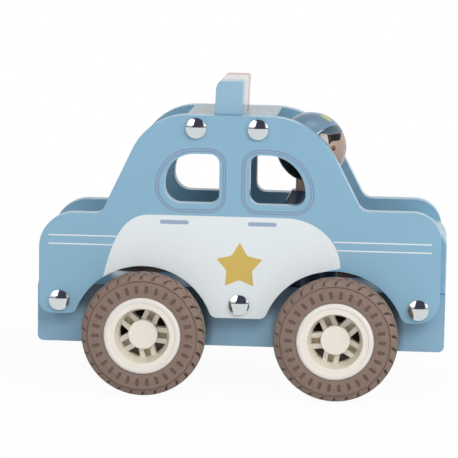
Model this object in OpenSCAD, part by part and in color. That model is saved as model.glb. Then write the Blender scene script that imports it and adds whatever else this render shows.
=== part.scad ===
// Wooden push-along police car: two painted side panels tied across a base and a roof block,
// with a light bar, a turned driver and four spoked wheels with ribbed tyres.
// Millimetres. +X is the front of the car, +Z is up, and the origin is on the ground at the middle.

/* [Base] */
// Length of the base plank
base_l = 205; // [180:1:230]
// Width of the base plank, which keeps the side panels apart
base_w = 44; // [40:0.5:56]
// Height of the base plank
base_h = 29.4; // [24:0.2:36]
// Radius of the lower ends of the base
base_end_r = 3; // [1:0.5:5]
// Height of the axle above the underside of the base
axle_inset = 8.6; // [6:0.2:11]

/* [Side panels] */
// Thickness of a side panel
panel_t = 8; // [6:0.5:10]
// How far the base sticks out past the panels, taken at each end
panel_inset = 2.2; // [0:0.1:5]
// How far the panels sit behind the middle of the base
panel_back = 0.6; // [0:0.1:2]
// How far the panels reach down over the base
panel_lap = 13.8; // [11:0.2:17]
// Height of a panel at the boot
boot_h = 51.1; // [46:0.1:54]
// Height of a panel at the bonnet
bonnet_h = 55.4; // [50:0.1:60]
// Height of a panel at the roof
panel_h = 101.4; // [90:0.2:115]
// Distance from the rear edge of a panel to the foot of the rear pillar
rear_pillar_x = 31; // [26:0.5:36]
// Distance from the front edge of a panel to the foot of the front pillar
front_pillar_x = 39.6; // [34:0.2:46]
// Slope of the rear pillar
rear_pillar_a = 64.8; // [58:0.2:72]
// Slope of the front pillar
front_pillar_a = 62.4; // [56:0.2:70]
// Radius from the roof into the rear pillar
roof_rear_r = 30; // [20:1:36]
// Radius from the roof into the front pillar
roof_front_r = 38; // [26:1:44]
// Radius between the boot and the rear pillar
boot_fillet_r = 5; // [2:0.5:9]
// Radius between the bonnet and the front pillar
bonnet_fillet_r = 6.5; // [2:0.5:10]
// Radius of the boot's rear corner
boot_r = 17.5; // [8:0.5:24]
// Radius of the bonnet's front corner
bonnet_r = 14; // [8:0.5:22]
// Radius of the rear foot's outer corner
rear_foot_r = 6.5; // [2:0.5:8]
// Radius of the front foot's outer corner
front_foot_r = 11.5; // [2:0.5:12]

/* [Windows] */
// Height of the window sill above the boot
sill_rise = 6.15; // [3:0.05:10]
// Height of the panel above the windows
roof_band = 19.2; // [14:0.2:24]
// Width of the middle pillar between the windows
pillar_w = 15.1; // [10:0.1:20]
// Distance from the middle of the panel back to the middle of that pillar
pillar_back = 2.75; // [0:0.05:6]
// Length of the rear window
rear_window_l = 27.5; // [22:0.5:30]
// Length of the front window
front_window_l = 27.8; // [22:0.2:31]
// Radius of the window corners at the middle pillar
window_r = 5; // [2:0.5:7]
// Radius of the rear window's lower rear corner
rear_window_low_r = 8.5; // [3:0.5:9]
// Radius of the rear window's upper rear corner
rear_window_top_r = 15; // [8:0.5:15.5]
// Radius of the front window's lower front corner
front_window_low_r = 5.5; // [2:0.5:5.5]
// Radius of the front window's upper front corner
front_window_top_r = 19; // [8:0.5:19]

/* [Wheel arches] */
// Space between the tyre and the arch above it
arch_gap = 5; // [3:0.2:8]
// How far the middle of the arch lies below the axle
arch_drop = 3.9; // [0:0.1:6]
// Radius of the feet beside an arch
arch_foot_r = 4; // [1:0.5:5]

/* [Front block] */
// Height of the block that closes the front
front_block_h = 33; // [24:0.5:36]
// Thickness of the front block
front_block_t = 18; // [12:0.5:24]
// Radius of its upper front edge
front_block_r = 10; // [4:0.5:12]

/* [Roof] */
// Length of the roof block
roof_block_l = 44.8; // [38:0.2:50]
// Thickness of the roof block
roof_block_t = 10; // [9:0.2:14]
// Distance from the middle of the base back to the middle of the roof block
roof_block_back = 5.7; // [0:0.1:10]
// Length of the light bar along the car
light_l = 13.6; // [10:0.2:18]
// Height of the light bar
light_h = 16.8; // [12:0.2:20]
// How far the light bar reaches over each panel
light_lap = 3; // [0:0.2:6]
// Width of each coloured end of the light bar
light_end_w = 13; // [8:0.5:18]
// How far the light bar sits behind the middle of the roof block
light_back = 1.3; // [0:0.1:4]
// Radius of the light bar's upper rear edge
light_rear_r = 3; // [1:0.5:6]
// Radius of the light bar's upper front edge
light_front_r = 1.5; // [0.5:0.5:4]

/* [Fasteners] */
// Diameter of the tie rods
rod_d = 5; // [3:0.5:6]
// Diameter of a dome cap
cap_d = 10.2; // [8:0.2:12]
// Height of a cap's straight rim
cap_rim_h = 1.4; // [1:0.1:2]
// Height of a cap's dome
cap_dome_h = 1.3; // [1:0.1:2]
// How far a rod reaches into its cap
rod_reach = 1.5; // [0.8:0.1:1.7]
// Distance from the middle of the panel forward to the middle rod of the base
middle_rod_x = 0.6; // [-4:0.1:4]
// Height of the base's rods above the lower edge of a panel
base_rod_rise = 6.9; // [5:0.1:9]
// Distance from the roof block's rear end to its rear rod
roof_rod_rear_inset = 5.3; // [4:0.1:12]
// Distance from the roof block's front end to its front rod
roof_rod_front_inset = 8.7; // [4:0.1:12]
// Distance from the top of the roof down to its rods
roof_rod_drop = 6.35; // [4.5:0.05:7]

/* [Wheels] */
// Diameter of a wheel over its tyre
wheel_d = 62; // [54:1:70]
// Width of a tyre
tyre_w = 16; // [13:0.5:20]
// Space between a panel and the tyre beside it
wheel_gap = 2.6; // [1.5:0.1:6]
// Distance between the axles
wheelbase = 95.5; // [88:0.5:104]
// How far the axles sit in front of the middle of the base
axle_forward = 1.1; // [0:0.1:3]
// Diameter of an axle
axle_d = 5; // [3:0.5:6]
// Diameter of a rim
rim_d = 38.6; // [34:0.2:44]
// Width of the rim's outer face
rim_face_w = 5.5; // [4:0.1:7]
// Depth of the spokes behind the rim's outer face
spoke_depth = 8; // [7:0.2:9]
// Thickness of the spokes
spoke_t = 5; // [4:0.2:6]
// Diameter of the hub
hub_d = 14.6; // [11:0.2:17]
// Depth of a hub cap's front behind the rim's outer face
hub_recess = 4.6; // [2:0.1:5]
// Thickness of a hub cap
hub_cap_t = 1; // [0.6:0.1:1.6]
// Number of spoke pairs in a rim
spoke_pairs = 5; // [3:1:7]
// Width of one spoke
spoke_w = 2.5; // [1.2:0.1:3]
// Space between the two spokes of a pair
spoke_gap = 3; // [1:0.1:3.6]
// Turn of the front wheels
front_turn = 42; // [0:1:72]
// Turn of the rear wheels
rear_turn = -5; // [-36:1:72]

/* [Tyre slots] */
// Number of slots in each row round a tyre
slot_count = 30; // [16:1:36]
// Width of a tread slot
tread_slot_w = 1.1; // [0.6:0.1:2]
// Depth of a slot in the middle row of the tread
middle_slot_depth = 1.4; // [0.5:0.1:2.5]
// Length of a slot in the middle row of the tread
middle_slot_l = 5.6; // [3:0.2:7]
// Depth of a slot in the shoulder rows, below the crown
shoulder_slot_depth = 3; // [1.5:0.1:3.2]
// Distance from the middle of the tread to a shoulder row
shoulder_slot_y = 3.2; // [2.5:0.1:5]
// Slant of the tread slots
slot_slant = 40; // [0:1:50]
// Width of a slot in the sidewall
side_slot_w = 1.7; // [0.8:0.1:2]
// Length of a slot in the sidewall
side_slot_l = 3.8; // [2:0.1:5]
// Depth of a slot in the sidewall
side_slot_depth = 0.6; // [0.2:0.1:1.2]
// Width of the groove between a sidewall and the tread
groove_w = 0.6; // [0.3:0.1:1]
// Depth of that groove
groove_depth = 0.5; // [0.2:0.1:1]

/* [Driver] */
// Diameter of the head
head_d = 35.4; // [30:0.2:38]
// Height of the body from the floor to the top of the shoulders
body_h = 48.2; // [42:0.2:54]
// Diameter of the body at the floor
body_d = 30; // [24:0.5:34]
// Diameter of the body at the lower end of the sloping shoulders
shoulder_d = 26; // [20:0.2:29]
// Height of the sloping shoulders
shoulder_h = 6.8; // [3:0.2:12]
// Diameter of the collar at the top of the shoulders
collar_d = 18.6; // [16:0.2:20]
// Diameter of the neck
neck_d = 15; // [10:0.2:15.4]
// Height of the neck between the shoulders and the head
neck_h = 3.9; // [2:0.1:6]
// Diameter of the peg below the body
peg_d = 10; // [6:0.5:14]
// Length of that peg
peg_h = 12; // [6:0.5:14]

/* [Fits] */
// Radial clearance of what turns
running_gap = 0.08; // [0.02:0.01:0.1]
// Radial clearance of what is pressed or glued
press_gap = 0.04; // [0.02:0.01:0.1]
// Space between the base and the spacers that turn beside it
side_play = 0.4; // [0.3:0.1:1]
// Space between the head and the roof block
head_gap = 0.4; // [0.3:0.1:2]

/* [Hidden] */
$fn = 96;
over = 1;

PLACES = ["roof_rear", "roof_front", "base_rear", "base_middle", "base_front"];
SIDES = ["right", "left"];
ENDS = ["front", "rear"];
WHEEL_PIECES = ["rim", "tyre", "hub_cap", "spacer"];

body_w = base_w + 2 * panel_t;
panel_l = base_l - 2 * panel_inset;

axle_z = wheel_d / 2;
base_z = axle_z - axle_inset;
floor_z = base_z + base_h;
panel_z = floor_z - panel_lap;
boot_z = panel_z + boot_h;
bonnet_z = panel_z + bonnet_h;
roof_z = panel_z + panel_h;
front_axle_x = axle_forward + wheelbase / 2;
rear_axle_x = axle_forward - wheelbase / 2;

arch_r = wheel_d / 2 + arch_gap;
arch_z = axle_z - arch_drop;
arch_half_chord = sqrt(pow(arch_r, 2) - pow(panel_z - arch_z, 2));
end_foot_w = panel_l / 2 - wheelbase / 2 - arch_half_chord;
end_rod_share = 0.57;
rear_foot_fit_r = min(rear_foot_r, end_foot_w - arch_foot_r);
front_foot_fit_r = min(front_foot_r, end_foot_w - arch_foot_r);

rear_foot = [rear_pillar_x - panel_l / 2, boot_z];
front_foot = [panel_l / 2 - front_pillar_x, bonnet_z];
boot_reach = boot_fillet_r * tan(rear_pillar_a / 2);
bonnet_reach = bonnet_fillet_r * tan(front_pillar_a / 2);
rear_top_x = rear_foot[0] + (roof_z - boot_z) / tan(rear_pillar_a);
front_top_x = front_foot[0] - (roof_z - bonnet_z) / tan(front_pillar_a);

sill_z = boot_z + sill_rise;
window_top_z = roof_z - roof_band;
rear_window_x = -pillar_back - pillar_w / 2;
front_window_x = -pillar_back + pillar_w / 2;

roof_rear_x = -roof_block_back - roof_block_l / 2;
roof_front_x = -roof_block_back + roof_block_l / 2;
roof_block_z = roof_z - roof_block_t;
roof_rod_z = roof_z - roof_rod_drop;
base_rod_z = panel_z + base_rod_rise;
light_w = base_w + 2 * light_lap;
light_rear_x = -roof_block_back - light_back - light_l / 2;

ROD_POINTS = [
  [roof_rear_x + roof_rod_rear_inset, roof_rod_z],
  [roof_front_x - roof_rod_front_inset, roof_rod_z],
  [end_rod_share * end_foot_w - panel_l / 2 - panel_back, base_rod_z],
  [middle_rod_x - panel_back, base_rod_z],
  [panel_l / 2 - end_rod_share * end_foot_w - panel_back, base_rod_z]
];

tyre_y = body_w / 2 + wheel_gap + tyre_w / 2;
rim_lip = 2.1;
rim_edge_r = 1.6;
rim_bead = 2.6;
rim_step = 0.4;
rim_proud = 0.3;
barrel_draft = 1.9;
rim_r = rim_d / 2;
seat_r = rim_r - rim_lip;
barrel_r = rim_r - rim_face_w;
spoke_r = barrel_r - barrel_draft;
rim_face_z = tyre_w / 2 + rim_proud;
spoke_front_z = rim_face_z - spoke_depth;
spoke_back_z = spoke_front_z - spoke_t;
rim_back_z = -tyre_w / 2 + rim_lip;
seat_front_z = tyre_w / 2 - rim_lip;
rim_wall = 2;
pocket_share = 0.7;
pocket_depth = pocket_share * spoke_t;
hub_r = hub_d / 2;
hub_front_z = rim_face_z - hub_recess - hub_cap_t;
hub_wall = 1;
axle_end_z = hub_front_z - hub_wall;
hub_back_z = -tyre_w / 2;
spacer_wall = 2;
spacer_end_y = base_w / 2 + side_play;

tyre_bulge = 0.5;
tread_r = wheel_d / 2;
tread_drop = 3.8;
tread_edge = 1.6;
crown_r = 18;
tyre_shoulder_r = tread_r - tread_drop;
sidewall_r = (rim_r + tyre_shoulder_r) / 2;
slot_step = 360 / slot_count;

head_r = head_d / 2;
head_z = floor_z + body_h + neck_h + head_r;
neck_in = 6;
head_rise = max(0, roof_block_z - head_z);
driver_x = roof_front_x + sqrt(max(0, pow(head_r + head_gap, 2) - pow(head_rise, 2)));
foot_chamfer = 1;
socket_clear = 0.5;
neck_clear = 0.3;

function wheel_x(end) = end == "front" ? front_axle_x : rear_axle_x;
function wheel_turn(end) = end == "front" ? front_turn : rear_turn;
function side_sign(side) = side == "right" ? -1 : 1;

// What is cut away outside a square corner that is rounded; out gives the corner's outward signs
module corner_cut(at, r, out) {
  centre = [at[0] - out[0] * r, at[1] - out[1] * r];
  low = [min(centre[0], at[0] + out[0] * over), min(centre[1], at[1] + out[1] * over)];
  difference() {
    translate(low)
      square(r + over);
    translate(centre)
      circle(r);
  }
}

// What is cut away where the roof bends into a pillar; way is -1 at the rear and 1 at the front
module roof_cut(top_x, slope, r, way) {
  reach = r * tan(slope / 2);
  corner = [top_x, roof_z];
  centre = [top_x - way * reach, roof_z - r];
  pillar_end = corner + reach * [way * cos(slope), -sin(slope)];
  outside = corner + over * (corner - centre) / norm(corner - centre);
  difference() {
    polygon([centre, [centre[0], roof_z + over], outside, pillar_end + [way * over, 0], pillar_end]);
    translate(centre)
      circle(r);
  }
}

// What is cut away where an arch meets the lower edge; way is -1 behind the arch and 1 before it
module arch_foot_cut(arch_x, way) {
  rise = panel_z + arch_foot_r - arch_z;
  run = sqrt(pow(arch_r + arch_foot_r, 2) - pow(rise, 2));
  arch_centre = [arch_x, arch_z];
  centre = arch_centre + [way * run, rise];
  arch_end = arch_centre + [way * run, rise] * arch_r / (arch_r + arch_foot_r);
  difference() {
    polygon([
      centre,
      arch_end,
      [arch_end[0], panel_z - over],
      [centre[0], panel_z - over]
    ]);
    translate(centre)
      circle(arch_foot_r);
  }
}

// A window from its edge at the middle pillar; way is -1 for the rear one and 1 for the front one
module window_outline(pillar_edge_x, length, low_r, top_r, way) {
  far_x = pillar_edge_x + way * length;
  difference() {
    translate([min(pillar_edge_x, far_x), sill_z])
      square([length, window_top_z - sill_z]);
    corner_cut([pillar_edge_x, sill_z], window_r, [-way, -1]);
    corner_cut([pillar_edge_x, window_top_z], window_r, [-way, 1]);
    corner_cut([far_x, sill_z], low_r, [way, -1]);
    corner_cut([far_x, window_top_z], top_r, [way, 1]);
  }
}

// The panel before its round corners are cut: at the foot of each pillar it runs by way of the middle of
// the fillet's circle, so that cutting that circle leaves the fillet
module sharp_outline() {
  polygon([
    [-panel_l / 2, panel_z],
    [panel_l / 2, panel_z],
    [panel_l / 2, bonnet_z],
    front_foot + [bonnet_reach, 0],
    front_foot + [bonnet_reach, bonnet_fillet_r],
    front_foot + bonnet_reach * [-cos(front_pillar_a), sin(front_pillar_a)],
    [front_top_x, roof_z],
    [rear_top_x, roof_z],
    rear_foot + boot_reach * [cos(rear_pillar_a), sin(rear_pillar_a)],
    rear_foot + [-boot_reach, boot_fillet_r],
    rear_foot + [-boot_reach, 0],
    [-panel_l / 2, boot_z]
  ]);
}

// The outline of a side panel about its own middle
module panel_outline() {
  difference() {
    sharp_outline();
    translate(rear_foot + [-boot_reach, boot_fillet_r])
      circle(boot_fillet_r);
    translate(front_foot + [bonnet_reach, bonnet_fillet_r])
      circle(bonnet_fillet_r);
    roof_cut(rear_top_x, rear_pillar_a, roof_rear_r, -1);
    roof_cut(front_top_x, front_pillar_a, roof_front_r, 1);
    corner_cut([-panel_l / 2, boot_z], boot_r, [-1, 1]);
    corner_cut([panel_l / 2, bonnet_z], bonnet_r, [1, 1]);
    corner_cut([-panel_l / 2, panel_z], rear_foot_fit_r, [-1, -1]);
    corner_cut([panel_l / 2, panel_z], front_foot_fit_r, [1, -1]);
    for (arch_x = [-wheelbase / 2, wheelbase / 2]) {
      translate([arch_x, arch_z])
        circle(arch_r);
      for (way = [-1, 1])
        arch_foot_cut(arch_x, way);
    }
    window_outline(rear_window_x, rear_window_l, rear_window_low_r, rear_window_top_r, -1);
    window_outline(front_window_x, front_window_l, front_window_low_r, front_window_top_r, 1);
    for (point = ROD_POINTS)
      translate(point + [panel_back, 0])
        circle(rod_d / 2 + press_gap);
  }
}

// A bore across the car
module cross_bore(x, z, r) {
  translate([x, 0, z])
    rotate([90, 0, 0])
      cylinder(h = base_w + 2 * over, r = r, center = true);
}

module side_panel(side) {
  color("#8bb1c9")
    translate([-panel_back, side_sign(side) * (base_w + panel_t) / 2, 0])
      rotate([90, 0, 0])
        linear_extrude(panel_t, center = true)
          panel_outline();
}

module floor_block() {
  color("#86aac2")
    difference() {
      rotate([90, 0, 0])
        linear_extrude(base_w, center = true)
          difference() {
            translate([-base_l / 2, base_z])
              square([base_l, base_h]);
            corner_cut([-base_l / 2, base_z], base_end_r, [-1, -1]);
            corner_cut([base_l / 2, base_z], base_end_r, [1, -1]);
          }
      for (end = ENDS)
        cross_bore(wheel_x(end), axle_z, axle_d / 2 + running_gap);
      for (i = [2 : len(ROD_POINTS) - 1])
        cross_bore(ROD_POINTS[i][0], ROD_POINTS[i][1], rod_d / 2 + press_gap);
      translate([driver_x, 0, floor_z - peg_h - socket_clear])
        cylinder(h = peg_h + socket_clear + over, r = peg_d / 2 + running_gap);
    }
}

module front_block() {
  color("#86aac2")
    rotate([90, 0, 0])
      linear_extrude(base_w, center = true)
        difference() {
          translate([base_l / 2 - front_block_t, floor_z])
            square([front_block_t, front_block_h]);
          corner_cut([base_l / 2, floor_z + front_block_h], front_block_r, [1, 1]);
        }
}

module roof_block() {
  color("#86aac2")
    difference() {
      translate([roof_rear_x, -base_w / 2, roof_block_z])
        cube([roof_block_l, base_w, roof_block_t]);
      for (i = [0, 1])
        cross_bore(ROD_POINTS[i][0], ROD_POINTS[i][1], rod_d / 2 + press_gap);
    }
}

// A slice of the light bar from y_low to y_high across the car
module light_slice(y_low, y_high) {
  translate([0, y_high, 0])
    rotate([90, 0, 0])
      linear_extrude(y_high - y_low)
        difference() {
          translate([light_rear_x, roof_z])
            square([light_l, light_h]);
          corner_cut([light_rear_x, roof_z + light_h], light_rear_r, [-1, 1]);
          corner_cut([light_rear_x + light_l, roof_z + light_h], light_front_r, [1, 1]);
        }
}

module light_right() {
  color("#8bb1c9")
    light_slice(-light_w / 2, light_end_w - light_w / 2);
}

module light_middle() {
  color("#e6e4df")
    light_slice(light_end_w - light_w / 2, light_w / 2 - light_end_w);
}

module light_left() {
  color("#c58077")
    light_slice(light_w / 2 - light_end_w, light_w / 2);
}

module rod(i) {
  color("#b9bcc0")
    translate([ROD_POINTS[i][0], 0, ROD_POINTS[i][1]])
      rotate([90, 0, 0])
        cylinder(h = body_w + 2 * rod_reach - 2 * press_gap, r = rod_d / 2, center = true);
}

// A domed cap on the end of a rod
module cap(i, side) {
  dome_r = (pow(cap_d / 2, 2) + pow(cap_dome_h, 2)) / (2 * cap_dome_h);
  color("#d9dbde")
    translate([ROD_POINTS[i][0], side_sign(side) * body_w / 2, ROD_POINTS[i][1]])
      rotate([-side_sign(side) * 90, 0, 0])
        rotate_extrude()
          difference() {
            union() {
              square([cap_d / 2, cap_rim_h]);
              intersection() {
                translate([0, cap_rim_h + cap_dome_h - dome_r])
                  circle(dome_r);
                translate([0, cap_rim_h])
                  square([cap_d / 2, cap_dome_h]);
              }
            }
            square([rod_d / 2 + press_gap, rod_reach]);
          }
}

module axle(end) {
  color("#b9bcc0")
    translate([wheel_x(end), 0, axle_z])
      rotate([90, 0, 0])
        cylinder(h = 2 * (tyre_y + axle_end_z - press_gap), r = axle_d / 2, center = true);
}

// Places what is drawn about a wheel's own middle, with its outer side along +Z
module at_wheel(end, side) {
  translate([wheel_x(end), side_sign(side) * tyre_y, axle_z])
    rotate([-side_sign(side) * 90, 0, 0])
      rotate([0, 0, wheel_turn(end)])
        children();
}

// Half of the rim's section: its lip, its tyre seat, its barrel and its hub
module rim_section() {
  difference() {
    polygon([
      [axle_d / 2 + press_gap, hub_back_z],
      [axle_d / 2 + press_gap, axle_end_z],
      [0, axle_end_z],
      [0, hub_front_z],
      [hub_r, hub_front_z],
      [hub_r, spoke_front_z],
      [spoke_r, spoke_front_z],
      [barrel_r, rim_face_z - rim_step],
      [rim_r - rim_bead, rim_face_z - rim_step],
      [rim_r - rim_bead, rim_face_z],
      [rim_r, rim_face_z],
      [rim_r, seat_front_z],
      [seat_r, seat_front_z],
      [seat_r, rim_back_z],
      [seat_r - rim_wall, rim_back_z],
      [seat_r - rim_wall, spoke_back_z],
      [hub_r, spoke_back_z],
      [hub_r, hub_back_z]
    ]);
    corner_cut([rim_r, rim_face_z], rim_edge_r, [1, 1]);
  }
}

module rim(end, side) {
  pair_w = 2 * spoke_w + spoke_gap;
  color("#e9e2d6")
    at_wheel(end, side)
      difference() {
        rotate_extrude()
          rim_section();
        translate([0, 0, spoke_back_z - over])
          linear_extrude(spoke_t + 2 * over)
            difference() {
              circle(spoke_r);
              circle(hub_r);
              for (i = [0 : spoke_pairs - 1])
                rotate(i * 360 / spoke_pairs)
                  translate([0, -pair_w / 2])
                    square([rim_r, pair_w]);
            }
        translate([0, 0, spoke_front_z - pocket_depth])
          linear_extrude(pocket_depth + over)
            intersection() {
              difference() {
                circle(spoke_r);
                circle(hub_r);
              }
              for (i = [0 : spoke_pairs - 1])
                rotate(i * 360 / spoke_pairs)
                  translate([0, -spoke_gap / 2])
                    square([rim_r, spoke_gap]);
            }
      }
}

// Half of the tyre's section: a crowned tread, sloping shoulders, a groove below each and full sidewalls
module tyre_section() {
  half_w = tyre_w / 2;
  intersection() {
    difference() {
      polygon([
        [seat_r + press_gap, half_w - tyre_bulge],
        [sidewall_r, half_w],
        [tyre_shoulder_r, half_w - tyre_bulge],
        [tread_r - tread_edge / 2, half_w - tread_edge - tyre_bulge],
        [tread_r + over, 0],
        [tread_r - tread_edge / 2, tread_edge + tyre_bulge - half_w],
        [tyre_shoulder_r, tyre_bulge - half_w],
        [sidewall_r, -half_w],
        [seat_r + press_gap, tyre_bulge - half_w]
      ]);
      translate([0, seat_front_z - press_gap])
        square([rim_r + press_gap, tyre_w]);
      for (way = [-1, 1])
        translate([tyre_shoulder_r, way * (half_w - tyre_bulge)])
          square([groove_w, 2 * groove_depth], center = true);
    }
    translate([tread_r - crown_r, 0])
      circle(crown_r);
  }
}

// A slanted slot in the tread, from y_low to y_high along the axle
module tread_slot(y_low, y_high, depth, slant) {
  length = (y_high - y_low) / cos(slant);
  translate([tread_r - depth, 0, (y_low + y_high) / 2])
    rotate([slant, 0, 0])
      translate([0, -tread_slot_w / 2, -length / 2])
        cube([depth + over, tread_slot_w, length]);
}

// The outline of a slot in a sidewall, with round ends
module side_slot_outline() {
  reach = (side_slot_l - side_slot_w) / 2;
  square([2 * reach, side_slot_w], center = true);
  for (way = [-1, 1])
    translate([way * reach, 0])
      circle(side_slot_w / 2);
}

// One ring of slots in a sidewall, with its outer side along +Z
module side_slots() {
  translate([0, 0, tyre_w / 2 - side_slot_depth])
    linear_extrude(side_slot_depth + over)
      for (i = [0 : slot_count - 1])
        rotate((i + 0.5) * slot_step)
          translate([sidewall_r, 0])
            side_slot_outline();
}

module tyre(end, side) {
  color("#88766c")
    at_wheel(end, side)
      difference() {
        rotate_extrude()
          tyre_section();
        for (i = [0 : slot_count - 1]) {
          rotate((i + 0.5) * slot_step)
            tread_slot(-middle_slot_l / 2, middle_slot_l / 2, middle_slot_depth, slot_slant);
          rotate(i * slot_step)
            tread_slot(shoulder_slot_y, tyre_w / 2 + over, shoulder_slot_depth, -slot_slant);
          rotate(i * slot_step)
            tread_slot(-tyre_w / 2 - over, -shoulder_slot_y, shoulder_slot_depth, -slot_slant);
        }
        side_slots();
        mirror([0, 0, 1])
          side_slots();
      }
}

module hub_cap(end, side) {
  color("#e9e2d6")
    at_wheel(end, side)
      translate([0, 0, hub_front_z])
        cylinder(h = hub_cap_t, r = hub_r);
}

// The sleeve that keeps a wheel clear of the base
module spacer(end, side) {
  color("#e9e2d6")
    at_wheel(end, side)
      translate([0, 0, spacer_end_y - tyre_y])
        difference() {
          cylinder(h = tyre_y - spacer_end_y + hub_back_z, r = axle_d / 2 + spacer_wall);
          translate([0, 0, -over])
            cylinder(h = tyre_y + 2 * over, r = axle_d / 2 + press_gap);
        }
}

// The turned body with its peg, its sloping shoulders and its neck
module driver_body() {
  neck_top = body_h + neck_h + neck_in;
  color("#2f3d55")
    translate([driver_x, 0, floor_z])
      rotate_extrude()
        union() {
          translate([0, -peg_h])
            square([peg_d / 2, peg_h + over]);
          polygon([
            [0, 0],
            [body_d / 2 - foot_chamfer, 0],
            [body_d / 2, foot_chamfer],
            [shoulder_d / 2, body_h - shoulder_h],
            [collar_d / 2, body_h],
            [0, body_h]
          ]);
          square([neck_d / 2, neck_top]);
        }
}

module driver_head() {
  color("#a99587")
    difference() {
      translate([driver_x, 0, head_z])
        sphere(head_r);
      translate([driver_x, 0, head_z - head_r - over])
        cylinder(h = neck_in + neck_clear + over, r = neck_d / 2 + press_gap);
    }
}

floor_block();
front_block();
roof_block();
light_right();
light_middle();
light_left();
driver_body();
driver_head();
for (side = SIDES)
  side_panel(side);
for (i = [0 : len(PLACES) - 1])
  rod(i);
for (i = [0 : len(PLACES) - 1], side = SIDES)
  cap(i, side);
for (end = ENDS)
  axle(end);
for (end = ENDS, side = SIDES)
  rim(end, side);
for (end = ENDS, side = SIDES)
  tyre(end, side);
for (end = ENDS, side = SIDES)
  hub_cap(end, side);
for (end = ENDS, side = SIDES)
  spacer(end, side);
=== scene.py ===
"""Looks of a wooden push-along police car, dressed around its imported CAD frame.

Sizes in the classes are millimetres in the car's own frame: +X is its front, +Y its left, +Z is up.
"""
import logging
import math
from dataclasses import dataclass
from enum import Enum
from typing import Callable, Iterable

import bmesh
import bpy
from mathutils import Matrix, Vector
from mathutils.geometry import interpolate_bezier


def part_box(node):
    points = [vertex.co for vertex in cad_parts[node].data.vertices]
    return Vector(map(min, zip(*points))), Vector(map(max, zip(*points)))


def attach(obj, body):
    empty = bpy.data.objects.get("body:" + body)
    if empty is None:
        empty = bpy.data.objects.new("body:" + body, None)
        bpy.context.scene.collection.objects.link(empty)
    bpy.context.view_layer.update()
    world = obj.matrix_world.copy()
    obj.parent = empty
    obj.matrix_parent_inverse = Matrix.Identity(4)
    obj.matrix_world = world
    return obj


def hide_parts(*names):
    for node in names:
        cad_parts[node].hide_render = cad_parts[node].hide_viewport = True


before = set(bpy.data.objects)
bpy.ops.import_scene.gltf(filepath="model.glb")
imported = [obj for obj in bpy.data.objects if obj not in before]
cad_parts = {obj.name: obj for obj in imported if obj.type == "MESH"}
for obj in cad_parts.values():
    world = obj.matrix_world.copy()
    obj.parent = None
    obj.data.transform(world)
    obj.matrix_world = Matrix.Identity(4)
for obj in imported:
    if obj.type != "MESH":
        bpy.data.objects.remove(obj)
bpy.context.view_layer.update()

MM = 0.001
WELD = 1e-6  # points closer than this, in metres, are one
FLAT_DEG = 0.3  # faces that turn by less than this are one flat face
LOG = logging.getLogger("police_car")

Colour = tuple[float, float, float, float]
Point = tuple[float, float]
Span = tuple[float, float]
Triple = tuple[float, float, float]
Form = bmesh.types.BMesh
Tree = bpy.types.NodeTree
Node = bpy.types.Node
Socket = bpy.types.NodeSocket
Limit = tuple[Socket, float, float]


class Side(Enum):
    """The two sides of the car, each with the sign of its Y."""

    RIGHT = -1
    LEFT = 1

    @property
    def word(self) -> str:
        """The side's name as the CAD nodes spell it."""
        return self.name.lower()


class End(Enum):
    """The two ends of the car, named as the CAD nodes spell them."""

    FRONT = "front"
    REAR = "rear"


def linear(hex_colour: str) -> Colour:
    """Turns an sRGB hex colour into linear RGBA.

    Args:
        hex_colour: six hex digits after a number sign.

    Returns:
        The linear colour with full alpha.
    """
    parts = [int(hex_colour[i:i + 2], 16) / 255 for i in (1, 3, 5)]
    red, green, blue = [c / 12.92 if c <= 0.04045 else ((c + 0.055) / 1.055) ** 2.4 for c in parts]
    return red, green, blue, 1.0


def per_metre(size_mm: float) -> float:
    """The texture scale whose pattern repeats about every size_mm millimetres."""
    return 1.0 / (size_mm * MM)


def add_node(tree: Tree, kind: str, settings: dict | None = None, links: dict | None = None) -> Node:
    """Adds a shader node with its settings and its incoming links.

    Args:
        tree: the tree that gets the node.
        kind: the node's type name.
        settings: properties and input values, by property name, socket name or socket number.
        links: source sockets, by the name or number of the input that each feeds.

    Returns:
        The new node.
    """
    node = tree.nodes.new(kind)
    for key, value in (settings or {}).items():
        if isinstance(key, str) and hasattr(node, key):
            setattr(node, key, value)
        else:
            node.inputs[key].default_value = value
    for key, source in (links or {}).items():
        tree.links.new(source, node.inputs[key])
    return node


def mottled(tree: Tree, size_mm: float, detail: float, main: str, other: str) -> tuple[Socket, Socket]:
    """Clouds one colour softly into another.

    Args:
        tree: the material's tree.
        size_mm: the size of the clouds, in millimetres.
        detail: how many finer steps they have.
        main: the colour where the clouds are thin, as sRGB hex.
        other: the colour where they are thick.

    Returns:
        The clouded colour, and the clouds from nought to one.
    """
    coords = add_node(tree, "ShaderNodeTexCoord").outputs["Object"]
    clouds = add_node(tree, "ShaderNodeTexNoise", {"Scale": per_metre(size_mm), "Detail": detail},
                      {"Vector": coords}).outputs["Fac"]
    colour = add_node(tree, "ShaderNodeMix", {
        "data_type": "RGBA", 6: linear(main), 7: linear(other)}, {0: clouds}).outputs[2]
    return colour, clouds


def grained(tree: Tree, size_mm: float, detail: float, depth_mm: float, strength: float = 1.0) -> Socket:
    """Raises a fine grain on a surface.

    Args:
        tree: the material's tree.
        size_mm: the size of the grain, in millimetres.
        detail: how many finer steps it has.
        depth_mm: its depth, in millimetres.
        strength: the share of the depth that shows.

    Returns:
        The normal of the grained surface.
    """
    coords = add_node(tree, "ShaderNodeTexCoord").outputs["Object"]
    grain = add_node(tree, "ShaderNodeTexNoise", {"Scale": per_metre(size_mm), "Detail": detail},
                     {"Vector": coords}).outputs["Fac"]
    return add_node(tree, "ShaderNodeBump", {"Strength": strength, "Distance": depth_mm * MM},
                    {"Height": grain}).outputs["Normal"]


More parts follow.
